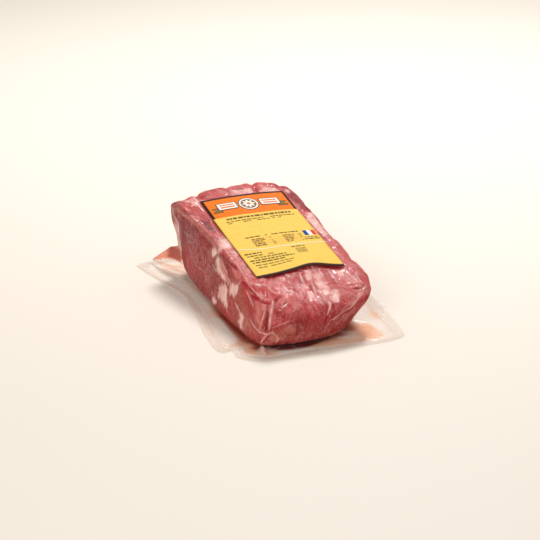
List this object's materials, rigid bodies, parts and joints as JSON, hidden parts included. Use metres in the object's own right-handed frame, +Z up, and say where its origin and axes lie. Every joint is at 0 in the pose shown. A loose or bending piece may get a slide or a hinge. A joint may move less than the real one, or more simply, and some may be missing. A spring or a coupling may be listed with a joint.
{
  "type": "vacuum-packed salted pork collar",
  "caption": "Rounded block of salted pork collar sealed tight in a clear vacuum pouch, with a flat sealed margin round its foot and a wide printed label along its top.",
  "frame": {"origin": "the underside's plane, below the middle of the pouch's outline box", "axes": "+Z up from the flat underside, +Y along the block towards its higher end, +X to the right seen from the lower end"},
  "size_m": [0.1809, 0.288, 0.0762],
  "materials": {
    "pork_in_film": "raw salted pork, dark red muscle with pale pink fat, under wet-looking clear film",
    "pouch_film": "clear glossy film, creased where it folds and frosted along the heat seals",
    "label_paper": "coated label, orange head in a dark frame over a yellow field with dark fine print"
  },
  "bodies": {
    "root": {"vacuum_pouch": "pork_in_film", "label": "label_paper"}
  },
  "joints": []
}
